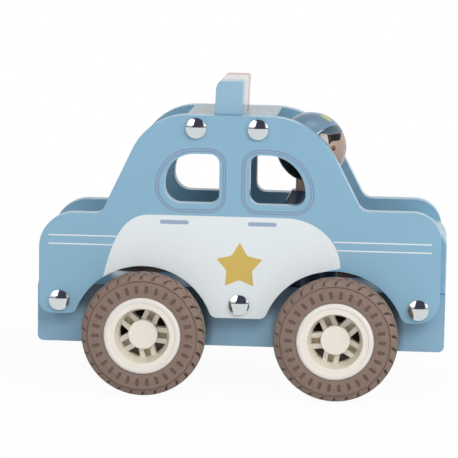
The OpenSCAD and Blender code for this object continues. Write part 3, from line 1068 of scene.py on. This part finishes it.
@dataclass
class WheelPair:
    """One axle with its two spoked rims, tyres, hub caps and spacers."""

    end: End
    rim_edge_r: float = 0.22
    rim_edge_steps: int = 2
    hub_edge_r: float = 0.45

    def build(self) -> None:
        """Dresses the axle and builds the wheel on each side."""
        word = self.end.value
        body = f"{word}_wheels"
        dress_node(f"axle_{word}", STEEL)
        axle = node_middle(f"axle_{word}")
        rim_cream = RimPlastic(f"moulded_cream_abs_{word}_rim", axle_x=axle.x, axle_z=axle.z)
        taupe = TyreRubber(f"moulded_taupe_rubber_{word}_tyre", axle_x=axle.x, axle_z=axle.z)
        for side in Side:
            place = f"{word}_{side.word}"
            dress_node(f"spacer_{place}", HUB_CREAM)
            make_piece(f"spoked_rim_{place}", softened(f"rim_{place}", self.rim_edge_r, self.rim_edge_steps),
                       rim_cream, body, [f"rim_{place}"])
            make_piece(f"hub_disc_{place}", softened(f"hub_cap_{place}", self.hub_edge_r), HUB_CREAM, body,
                       [f"hub_cap_{place}"])
            dress_node(f"tyre_{place}", taupe)


def both_sides(*half: Point) -> tuple[Point, ...]:
    """Mirrors an edge that is drawn from the middle of the face to the back of the head.

    Args:
        half: its points as azimuth and height, the first at azimuth 0.

    Returns:
        The points of the whole edge.
    """
    return tuple((-azimuth, height) for azimuth, height in reversed(half[1:])) + half


@dataclass(frozen=True)
class FacePaint(Finish):
    """Hand-painted doll's head under clear lacquer: skin, black hair, a peaked cap, eyes and a small smile.

    Shapes are drawn in degrees on the ball: azimuth from the middle of the face to its left, and height.
    A spot is an azimuth, a height and a radius.
    """

    centre: Triple = (0.0, 0.0, 0.0)
    radius: float = 0.0177
    facing_deg: float = -29.0
    skin: str = "#a48f82"
    blush: str = "#9e887a"
    blush_mm: float = 14.0
    temple: str = "#a99f99"
    hair: str = "#171412"
    cap: str = "#6d879f"
    piping_highlight: str = "#dfe0dd"
    visor: str = "#3d5362"
    badge: str = "#adb06a"
    eye: str = "#553024"
    glint: str = "#8f695c"
    mouth: str = "#7d4a3e"
    roughness: float = 0.2
    shine: Span = (0.5, 0.12)
    edge_soft: float = 0.0025
    spot_soft: float = 0.006
    temple_spot: Triple = (35.0, 22.0, 8.5)
    eye_spot: Triple = (19.3, 3.6, 4.2)
    glint_spot: Triple = (19.3, 4.9, 1.6)
    lock_spot: Triple = (44.5, 25.0, 1.6)
    badge_spots: tuple[Triple, ...] = ((-1.0, 64.0, 7.5), (1.0, 57.5, 6.5))
    smile_outer: Triple = (0.0, -9.0, 12.6)
    smile_inner: Triple = (0.0, -9.0, 11.4)
    smile_part: Triple = (0.0, -22.0, 8.0)
    cap_edge: tuple[Point, ...] = both_sides(
        (0, 28), (11, 27.6), (25, 26.8), (32, 28), (40, 28.5), (46, 26), (60, 25.5), (180, 20))
    piping_top: tuple[Point, ...] = both_sides(
        (0, 42.8), (31, 37.4), (38, 34.7), (44, 32.2), (49, 28.8), (53, 25), (180, 0))
    visor_top: tuple[Point, ...] = both_sides(
        (0, 42.8), (17, 41), (31, 37.4), (41, 32), (48, 27.2), (51, 25), (180, 0))
    hairline: tuple[Point, ...] = (
        (-180, -72), (-78, -68), (-66, -32), (-56, 0), (-50, 27), (-46, 32), (-29.5, 32), (-28.7, 11.5),
        (-26.4, 10.2), (-23.5, 14), (-20.5, 14.4), (-18, 16), (-14, 15.4), (-9.4, 15.3), (-2.6, 15.6),
        (5, 21.3), (12, 29), (46, 32), (50, 27), (56, 0), (66, -32), (78, -68), (180, -72))

    def shade(self, tree: Tree) -> Node:
        """Builds the painted head's shader.

        Args:
            tree: the material's tree.

        Returns:
            The shader node.
        """
        coords = add_node(tree, "ShaderNodeTexCoord").outputs["Object"]
        unit = add_node(tree, "ShaderNodeMapping", {
            "vector_type": "TEXTURE", "Location": self.centre, "Scale": (self.radius,) * 3,
            "Rotation": (0, 0, math.radians(self.facing_deg))}, {"Vector": coords}).outputs[0]
        ball = add_node(tree, "ShaderNodeVectorMath", {"operation": "NORMALIZE"}, {0: unit}).outputs[0]
        tint, _ = mottled(tree, self.blush_mm, 2.0, self.skin, self.blush)
        shader = add_node(tree, "ShaderNodeBsdfPrincipled", {"Roughness": self.roughness, "IOR": 1.5},
                          {"Base Color": tint})
        cap, piping_highlight, visor, hair = (self.over_edge(tree, ball, edge) for edge in (
            self.cap_edge, self.piping_top, self.visor_top, self.hairline))
        soft = self.edge_soft
        on_cap, in_hair = (cap, -soft, soft), (hair, -soft, soft)
        for side in Side:
            lay_over(tree, shader, self.temple, self.spot(tree, ball, self.temple_spot, side))
        lay_over(tree, shader, self.hair, in_hair)
        for side in Side:
            for paint, spot in ((self.eye, self.eye_spot), (self.glint, self.glint_spot),
                                (self.hair, self.lock_spot)):
                lay_over(tree, shader, paint, self.spot(tree, ball, spot, side))
        lay_over(tree, shader, self.mouth, *self.smile(tree, ball))
        lay_over(tree, shader, self.cap, on_cap)
        # White piping over the visor, which is also a painted highlight along the visor's edge.
        lay_over(tree, shader, self.piping_highlight, on_cap, (piping_highlight, soft, -soft))
        lay_over(tree, shader, self.visor, on_cap, (visor, soft, -soft))
        for spot in self.badge_spots:
            lay_over(tree, shader, self.badge, self.spot(tree, ball, spot))
        matt = mask_within(tree, in_hair, (cap, soft, -soft))
        shine = add_node(tree, "ShaderNodeMapRange", {"To Min": self.shine[0], "To Max": self.shine[1]},
                         {"Value": matt}).outputs[0]
        tree.links.new(shine, shader.inputs["Specular IOR Level"])
        return shader

    def over_edge(self, tree: Tree, ball: Socket, edge: tuple[Point, ...]) -> Socket:
        """Measures how far above an edge that is drawn round the head a point lies.

        Args:
            tree: the material's tree.
            ball: the direction from the head's middle.
            edge: points of the edge, as azimuth and height in degrees.

        Returns:
            The height over the edge, as a share of a half turn.
        """
        axes = add_node(tree, "ShaderNodeSeparateXYZ", {}, {0: ball}).outputs
        turn = add_node(tree, "ShaderNodeMath", {"operation": "ARCTAN2"}, {0: axes[1], 1: axes[0]}).outputs[0]
        rise = add_node(tree, "ShaderNodeMath", {"operation": "ARCSINE"}, {0: axes[2]}).outputs[0]
        around, height = (
            mask_within(tree, (angle, -most, most)) for angle, most in ((turn, math.pi), (rise, math.pi / 2)))
        line = add_node(tree, "ShaderNodeFloatCurve", {}, {"Value": around})
        points = line.mapping.curves[0].points
        shares = [(azimuth / 360 + 0.5, level / 180 + 0.5) for azimuth, level in edge]
        points[0].location, points[-1].location = shares[0], shares[-1]
        for share in shares[1:-1]:
            points.new(*share)
        for point in points:
            point.handle_type = "VECTOR"
        line.mapping.update()
        return add_node(tree, "ShaderNodeMath", {"operation": "SUBTRACT"},
                        {0: height, 1: line.outputs[0]}).outputs[0]

    def spot(self, tree: Tree, ball: Socket, spot: Triple, side: Side = Side.LEFT) -> Limit:
        """Draws a round spot on the head.

        Args:
            tree: the material's tree.
            ball: the direction from the head's middle.
            spot: the spot's azimuth, height and radius, in degrees.
            side: the side that its azimuth counts towards.

        Returns:
            The limit that masks the spot.
        """
        azimuth, height, size = (math.radians(angle) for angle in spot)
        azimuth *= side.value
        level = math.cos(height)
        middle = (level * math.cos(azimuth), level * math.sin(azimuth), math.sin(height))
        away = add_node(tree, "ShaderNodeVectorMath", {"operation": "DISTANCE", 1: middle},
                        {0: ball}).outputs["Value"]
        reach = 2 * math.sin(size / 2)
        return away, reach + self.spot_soft, reach - self.spot_soft

    def smile(self, tree: Tree, ball: Socket) -> list[Limit]:
        """Draws a small smile: the lower part of a thin ring.

        Args:
            tree: the material's tree.
            ball: the direction from the head's middle.

        Returns:
            The limits that mask it together.
        """
        outer, inner, part = (self.spot(tree, ball, spot) for spot in (
            self.smile_outer, self.smile_inner, self.smile_part))
        return [outer, (inner[0], inner[2], inner[1]), part]


@dataclass(frozen=True)
class CoatPaint(SatinPaint):
    """Satin paint on the turned body: a navy coat up to its collar, and the doll's skin colour on the neck."""

    colour: str = "#2b3a50"
    cloud: str = "#31435c"
    neck: str = "#a08577"
    collar_z: float = 0.1
    collar_soft: float = 0.1

    def shade(self, tree: Tree) -> Node:
        """Builds the coat's shader.

        Args:
            tree: the material's tree.

        Returns:
            The shader node.
        """
        shader = super().shade(tree)
        coords = add_node(tree, "ShaderNodeTexCoord").outputs["Object"]
        height = add_node(tree, "ShaderNodeSeparateXYZ", {}, {0: coords}).outputs[2]
        soft = self.collar_soft * MM
        lay_over(tree, shader, self.neck, (height, self.collar_z - soft, self.collar_z + soft))
        return shader


@dataclass
class Driver:
    """The turned peg driver: a painted ball head on a navy body."""

    body: str = "driver"
    steps: int = 72
    head_r: float = 17.7
    head_points: int = 44
    head_steps: int = 96
    head_smooth_deg: float = 60.0
    neck_r: float = 7.5
    body_h: float = 48.2
    body_r: float = 15.0
    foot_r: float = 0.8
    foot_ease: float = 0.3
    shoulder_r: float = 13.0
    shoulder_h: float = 6.8
    shoulder_ease: float = 0.1
    collar_r: float = 9.3
    collar_ease: float = 0.2
    soft: float = 0.5
    neck_top: float = 58.1
    peg_r: float = 5.0
    peg_h: float = 12.0
    peg_chamfer: float = 0.8

    def build(self) -> None:
        """Builds the body and the head."""
        middle = node_middle("driver_head")
        floor_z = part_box("driver_body")[0].z + self.peg_h * MM
        place = Matrix.Translation((middle.x, middle.y, floor_z))
        coat = CoatPaint("satin_coat_and_neck_paint_on_beech", collar_z=floor_z + self.body_h * MM)
        make_piece("driver_coat", turned(self.body_profile(), self.steps, place), coat, self.body,
                   ["driver_body"])
        centre = (middle.x, middle.y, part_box("driver_head")[1].z - self.head_r * MM)
        paint = FacePaint("lacquered_doll_face_paint", centre, self.head_r * MM)
        start = math.degrees(math.asin(self.neck_r / self.head_r)) - 90
        skull = [(0.0, -self.head_r * math.cos(math.radians(90 + start)))]
        skull += arc((0.0, 0.0), self.head_r, start, 90, self.head_points)[:-1] + [(0.0, self.head_r)]
        make_piece("driver_ball_head", turned(skull, self.head_steps, Matrix.Translation(centre)), paint,
                   self.body, ["driver_head"], self.head_smooth_deg)

    def body_profile(self) -> list[Point]:
        """Draws the turned body's profile from the peg's tip to the neck's top.

        Returns:
            Its points as radius and height over the floor.
        """
        shoulder_z, soft = self.body_h - self.shoulder_h, self.soft
        foot_ease, collar_ease = self.foot_ease * self.foot_r, self.collar_ease * soft
        slope = Vector((self.collar_r - self.shoulder_r, self.shoulder_h)).normalized() * soft
        peg = [(0.0, -self.peg_h), (self.peg_r - self.peg_chamfer, -self.peg_h),
               (self.peg_r, -self.peg_h + self.peg_chamfer), (self.peg_r, 0.0)]
        foot = [(self.body_r - self.foot_r, 0.0), (self.body_r - foot_ease, foot_ease),
                (self.body_r, self.foot_r)]
        shoulder = [(self.shoulder_r, shoulder_z - soft),
                    (self.shoulder_r - self.shoulder_ease * soft, shoulder_z),
                    (self.shoulder_r + slope.x, shoulder_z + slope.y)]
        collar = [(self.collar_r - slope.x, self.body_h - slope.y),
                  (self.collar_r - collar_ease, self.body_h - collar_ease),
                  (self.collar_r - soft, self.body_h)]
        neck = [(self.neck_r + soft, self.body_h), (self.neck_r, self.body_h + soft),
                (self.neck_r, self.neck_top), (0.0, self.neck_top)]
        return peg + foot + shoulder + collar + neck


@dataclass(frozen=True)
class SweepVinyl(Finish):
    """Matt white studio vinyl: the eye and mirrors see it near white, with a faint shadow of the car."""

    matt: str = "#ececec"
    white: str = "#ffffff"
    glow: Span = (0.955, 1.0)
    glow_mm: Span = (130.0, 330.0)

    def shade(self, tree: Tree) -> Node:
        """Builds the floor's shader.

        Args:
            tree: the material's tree.

        Returns:
            The shader node.
        """
        coords = add_node(tree, "ShaderNodeTexCoord").outputs["Object"]
        away = add_node(tree, "ShaderNodeVectorMath", {"operation": "LENGTH"}, {0: coords}).outputs["Value"]
        glow_share = add_node(tree, "ShaderNodeMapRange", {
            "interpolation_type": "SMOOTHSTEP", "From Min": self.glow_mm[0] * MM,
            "From Max": self.glow_mm[1] * MM, "To Min": self.glow[0], "To Max": self.glow[1]},
            {"Value": away}).outputs[0]
        matt = add_node(tree, "ShaderNodeBsdfDiffuse", {"Color": linear(self.matt)}).outputs[0]
        glow = add_node(tree, "ShaderNodeEmission", {"Color": linear(self.white), "Strength": 1.0}).outputs[0]
        seen = seen_by(tree, "Is Camera Ray", "Is Glossy Ray", "Is Transmission Ray")
        share = add_node(tree, "ShaderNodeMath", {"operation": "MULTIPLY"},
                         {0: seen, 1: glow_share}).outputs[0]
        return add_node(tree, "ShaderNodeMixShader", {}, {0: share, 1: matt, 2: glow})


@dataclass(frozen=True)
class SoftBox:
    """A square soft box that faces the car; its place and size are metres, and its power is watts."""

    name: str
    place: Triple
    size: float
    power: float
    mirrored: bool = True
    aim: Triple = (0.0, 0.0, 0.07)

    def hang(self) -> None:
        """Hangs the box; a fill that isn't mirrored only adds light and shows in no gloss."""
        lamp = bpy.data.lights.new(self.name, "AREA")
        lamp.size, lamp.energy = self.size, self.power
        obj = bpy.data.objects.new(self.name, lamp)
        bpy.context.scene.collection.objects.link(obj)
        turn = (Vector(self.aim) - Vector(self.place)).to_track_quat("-Z", "Y")
        obj.matrix_world = Matrix.Translation(self.place) @ turn.to_matrix().to_4x4()
        obj.visible_glossy = self.mirrored


@dataclass
class Studio:
    """A white sweep between soft boxes, with a dark room behind a long-lens camera."""

    focal_px: float = 2600.0
    image_px: float = 458.0
    sensor_mm: float = 36.0
    clip: Span = (0.05, 60.0)
    yaw_deg: float = 4.46
    pitch_deg: float = 8.42
    roll_deg: float = 0.94
    target: Triple = (-5.67, -30.0, 83.03)
    distance: float = 1292.3
    floor_half: float = 9000.0
    ambient: float = 0.27
    mirror: Span = (0.3, 1.0)
    ceiling_deg: Span = (48.0, 32.0)
    seam_deg: Span = (4.0, 3.0)
    dark_deg: Span = (-24.0, 37.0)
    dark_soft_deg: float = 2.0
    room: str = "#4f4a5f"
    soft_boxes: tuple[SoftBox, ...] = (
        SoftBox("soft_box_left", (-0.89, -1.32, 0.91), 1.0, 7.4),
        SoftBox("soft_box_right", (1.44, -0.77, 0.83), 1.0, 11.6),
        SoftBox("fill_box", (0.63, -1.18, 1.2), 0.8, 12.2, mirrored=False),
        SoftBox("top_box", (0.0, -0.12, 1.55), 0.6, 2.5))

    def build(self) -> None:
        """Builds the floor, the world, the soft boxes and the camera."""
        bm = bmesh.new()
        bmesh.ops.create_grid(bm, x_segments=1, y_segments=1, size=self.floor_half * MM)
        mesh = bpy.data.meshes.new("studio_floor")
        bm.to_mesh(mesh)
        bm.free()
        mesh.materials.append(SweepVinyl("matt_white_studio_vinyl").material())
        floor = bpy.data.objects.new("studio_floor", mesh)
        bpy.context.scene.collection.objects.link(floor)
        self.build_world()
        for box in self.soft_boxes:
            box.hang()
        self.build_camera()

    def build_world(self) -> None:
        """Sets a white surround; mirrors also show a dim ceiling, a dark wedge and the floor's far seam."""
        world = bpy.data.worlds.new("white_studio")
        bpy.context.scene.world = world
        world.use_nodes = True
        tree = world.node_tree
        tree.nodes.clear()
        way = add_node(tree, "ShaderNodeTexCoord").outputs["Generated"]
        axes = add_node(tree, "ShaderNodeSeparateXYZ", {}, {0: way}).outputs
        front = add_node(tree, "ShaderNodeMath", {"operation": "MULTIPLY", 1: -1.0}, {0: axes[1]}).outputs[0]
        turn = add_node(tree, "ShaderNodeMath", {"operation": "ARCTAN2"}, {0: axes[0], 1: front}).outputs[0]
        start, end, soft = (math.radians(angle) for angle in (*self.dark_deg, self.dark_soft_deg))
        wedge = mask_within(tree, (turn, start - soft, start + soft), (turn, end + soft, end - soft))
        ceiling, walls, seam_top, seam_foot = (
            math.sin(math.radians(angle)) for angle in (*self.ceiling_deg, *self.seam_deg))
        bright = add_node(tree, "ShaderNodeMapRange", {
            "From Min": ceiling, "From Max": walls, "To Min": self.mirror[0], "To Max": self.mirror[1]},
            {"Value": axes[2]}).outputs[0]
        ahead = add_node(tree, "ShaderNodeMath", {"operation": "GREATER_THAN", 1: 0.0}, {0: front}).outputs[0]
        seam = add_node(tree, "ShaderNodeMath", {"operation": "MULTIPLY"}, {
            0: mask_within(tree, (axes[2], seam_top, seam_foot)), 1: ahead}).outputs[0]
        dark = add_node(tree, "ShaderNodeMath", {"operation": "MAXIMUM"}, {0: wedge, 1: seam}).outputs[0]
        mirrored = add_node(tree, "ShaderNodeMix", {"data_type": "RGBA", 7: linear(self.room)},
                            {0: dark, 6: bright}).outputs[2]
        lit = add_node(tree, "ShaderNodeMix", {"data_type": "RGBA", 6: (self.ambient,) * 3 + (1.0,)}, {
            0: seen_by(tree, "Is Glossy Ray", "Is Transmission Ray"), 7: mirrored}).outputs[2]
        seen = add_node(tree, "ShaderNodeMix", {"data_type": "RGBA", 7: (1.0, 1.0, 1.0, 1.0)}, {
            0: seen_by(tree, "Is Camera Ray"), 6: lit}).outputs[2]
        surround = add_node(tree, "ShaderNodeBackground", {"Strength": 1.0}, {"Color": seen}).outputs[0]
        add_node(tree, "ShaderNodeOutputWorld", {}, {"Surface": surround})

    def build_camera(self) -> None:
        """Sets the long-lens camera at the photograph's viewing angle."""
        yaw, pitch, roll = (math.radians(v) for v in (self.yaw_deg, self.pitch_deg, self.roll_deg))
        back = Vector((math.sin(yaw) * math.cos(pitch), -math.cos(yaw) * math.cos(pitch), math.sin(pitch)))
        right = Vector((0, 0, 1)).cross(back).normalized()
        up = back.cross(right)
        tilted = math.cos(roll) * right + math.sin(roll) * up
        upright = back.cross(tilted)
        eye = (Vector(self.target) + back * self.distance) * MM
        lens = bpy.data.cameras.new("long_lens")
        lens.sensor_width = self.sensor_mm
        lens.lens = self.sensor_mm * self.focal_px / self.image_px
        lens.clip_start, lens.clip_end = self.clip
        camera = bpy.data.objects.new("long_lens", lens)
        bpy.context.scene.collection.objects.link(camera)
        turn = Matrix((tilted, upright, back)).transposed().to_4x4()
        camera.matrix_world = Matrix.Translation(eye) @ turn
        bpy.context.scene.camera = camera


def write_sizes() -> None:
    """Updates the view layer."""
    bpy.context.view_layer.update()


def main() -> None:
    """Builds the car's looks and the studio in order."""
    logging.basicConfig(level=logging.INFO, format="%(name)s: %(message)s")
    bpy.context.scene.view_settings.view_transform = "Standard"
    WoodBody().build()
    SidePrints().build()
    DomeCaps().build()
    for end in End:
        WheelPair(end).build()
    Driver().build()
    Studio().build()
    write_sizes()


if __name__ == "__main__":
    main()
